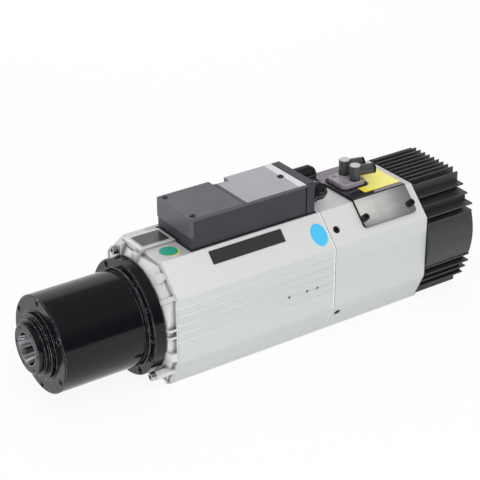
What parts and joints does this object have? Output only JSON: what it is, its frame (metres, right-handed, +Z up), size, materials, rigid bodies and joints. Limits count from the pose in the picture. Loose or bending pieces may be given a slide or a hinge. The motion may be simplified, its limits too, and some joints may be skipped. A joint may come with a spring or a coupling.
{
  "type": "motor spindle",
  "caption": "Air-cooled motor spindle with a tool taper and drawbar, a pneumatic release cylinder, a terminal box and a finned fan cover.",
  "frame": {"origin": "centre of the shaft's nose face, where the taper's gauge plane is", "axes": "+X along the spindle axis towards the fan, +Z up towards the terminal box"},
  "size_m": [0.481, 0.1308, 0.1596],
  "materials": {
    "gloss_black_steel": "gloss black",
    "ground_steel": "ground",
    "bright_steel": "polished",
    "black_screws": "black oxide",
    "zinc_screws": "zinc plated",
    "cast_aluminium": "fine cast",
    "silver_body": "satin",
    "mirror_plate": "mirror polished",
    "black_cast": "satin black",
    "box_plastic": "matte",
    "lid_plastic": "matte",
    "black_plastic": "matte",
    "elbow_plastic": "satin",
    "pale_plastic": "satin",
    "rubber": "matte",
    "brass": "turned",
    "copper": "lacquered wire",
    "laminations": "stacked sheet",
    "spring_steel": "oiled"
  },
  "bodies": {
    "housing": {"front_bearing_cover": "gloss_black_steel", "nose_housing": "gloss_black_steel", "nose_screws": "black_screws", "bearing_outer_rings": "bright_steel", "outer_spacer": "ground_steel", "stator_core": "laminations", "stator_windings": "copper", "rear_bearing_housing": "cast_aluminium", "front_end_shield": "cast_aluminium", "tie_screws": "zinc_screws", "motor_body": "silver_body", "rear_housing": "silver_body", "rear_housing_screws": "zinc_screws", "return_springs": "spring_steel", "cylinder_cover": "cast_aluminium", "position_sensors": "brass", "gaskets": "rubber", "cover_plate": "mirror_plate", "cover_plate_screws": "black_screws", "manifold_block": "elbow_plastic", "elbow_studs": "brass", "elbow_caps": "pale_plastic", "terminal_box": "box_plastic", "front_lid": "lid_plastic", "rear_lid": "lid_plastic", "lid_screws": "black_screws", "gland_plate": "box_plastic", "gland_bodies": "black_plastic", "gland_nuts": "black_plastic", "gland_seals": "rubber", "gland_plugs": "black_plastic", "fan_cover": "black_cast", "fan_cover_screws": "black_screws", "fan_guard": "black_cast", "fan_bracket": "black_plastic", "fan_motor": "black_plastic"},
    "rotor": {"spindle_shaft": "ground_steel", "labyrinth_collar": "ground_steel", "bearing_inner_rings": "bright_steel", "inner_spacer": "ground_steel", "locknuts": "spring_steel", "rotor_core": "laminations", "rotor_end_rings": "cast_aluminium", "speed_ring": "ground_steel", "disc_springs": "spring_steel"},
    "front_cages": {"front_bearing_balls": "bright_steel"},
    "rear_cage": {"rear_bearing_balls": "bright_steel"},
    "drawbar_set": {"drawbar": "ground_steel", "drawbar_nut": "spring_steel"},
    "release_piston": {"piston": "cast_aluminium", "piston_seals": "rubber"},
    "fan": {"fan_impeller": "black_plastic"},
    "near_elbow_body": {"near_elbow": "elbow_plastic"},
    "far_elbow_body": {"far_elbow": "elbow_plastic"},
    "near_collar": {"near_release_collar": "black_plastic"},
    "far_collar": {"far_release_collar": "black_plastic"},
    "finger_1": {"gripper_finger_1": "spring_steel"},
    "finger_2": {"gripper_finger_2": "spring_steel"},
    "finger_3": {"gripper_finger_3": "spring_steel"},
    "finger_4": {"gripper_finger_4": "spring_steel"}
  },
  "joints": [
    {"name": "spindle_spin", "type": "hinge", "parent": "housing", "child": "rotor", "pos_m": [0, 0, 0], "axis": [1, 0, 0], "continuous": true},
    {"name": "front_cage_spin", "type": "hinge", "parent": "housing", "child": "front_cages", "pos_m": [0, 0, 0], "axis": [1, 0, 0], "continuous": true},
    {"name": "rear_cage_spin", "type": "hinge", "parent": "housing", "child": "rear_cage", "pos_m": [0, 0, 0], "axis": [1, 0, 0], "continuous": true},
    {"name": "piston_stroke", "type": "slide", "parent": "housing", "child": "release_piston", "axis": [-1, 0, 0], "range_m": [0, 0.011], "stiffness_N_per_m": 4000, "springref_m": -0.004, "deforming": ["return_springs"]},
    {"name": "drawbar_stroke", "type": "slide", "parent": "rotor", "child": "drawbar_set", "axis": [-1, 0, 0], "range_m": [0, 0.01], "deforming": ["disc_springs"]},
    {"name": "fan_spin", "type": "hinge", "parent": "housing", "child": "fan", "pos_m": [0, 0, 0], "axis": [1, 0, 0], "continuous": true},
    {"name": "finger_1_swing", "type": "hinge", "parent": "drawbar_set", "child": "finger_1", "pos_m": [0.1007, 0.00456, 0.00456], "axis": [0, 0.7071, -0.7071], "range_deg": [0, 3]},
    {"name": "finger_2_swing", "type": "hinge", "parent": "drawbar_set", "child": "finger_2", "pos_m": [0.1007, -0.00456, 0.00456], "axis": [0, 0.7071, 0.7071], "range_deg": [0, 3]},
    {"name": "finger_3_swing", "type": "hinge", "parent": "drawbar_set", "child": "finger_3", "pos_m": [0.1007, -0.00456, -0.00456], "axis": [0, -0.7071, 0.7071], "range_deg": [0, 3]},
    {"name": "finger_4_swing", "type": "hinge", "parent": "drawbar_set", "child": "finger_4", "pos_m": [0.1007, 0.00456, -0.00456], "axis": [0, -0.7071, -0.7071], "range_deg": [0, 3]},
    {"name": "near_elbow_swivel", "type": "hinge", "parent": "housing", "child": "near_elbow_body", "pos_m": [0.3688, -0.0086, 0.0839], "axis": [0, 0, 1], "range_deg": [-100, 5]},
    {"name": "near_collar_press", "type": "slide", "parent": "near_elbow_body", "child": "near_collar", "axis": [-0.9744, 0.225, 0], "range_m": [0, 0.0012], "stiffness_N_per_m": 30, "springref_m": -0.002},
    {"name": "far_elbow_swivel", "type": "hinge", "parent": "housing", "child": "far_elbow_body", "pos_m": [0.3688, 0.0086, 0.0839], "axis": [0, 0, 1], "range_deg": [-5, 100]},
    {"name": "far_collar_press", "type": "slide", "parent": "far_elbow_body", "child": "far_collar", "axis": [-0.9744, 0.225, 0], "range_m": [0, 0.0012], "stiffness_N_per_m": 30, "springref_m": -0.002}
  ],
  "couplings": [
    {"joint": "front_cage_spin", "follows": "spindle_spin", "ratio": 0.4296},
    {"joint": "rear_cage_spin", "follows": "spindle_spin", "ratio": 0.4278},
    {"joint": "drawbar_stroke", "follows": "piston_stroke", "ratio": 0.9},
    {"joint": "finger_1_swing", "follows": "piston_stroke", "rad_per_m": 4.5},
    {"joint": "finger_2_swing", "follows": "piston_stroke", "rad_per_m": 4.5},
    {"joint": "finger_3_swing", "follows": "piston_stroke", "rad_per_m": 4.5},
    {"joint": "finger_4_swing", "follows": "piston_stroke", "rad_per_m": 4.5}
  ]
}
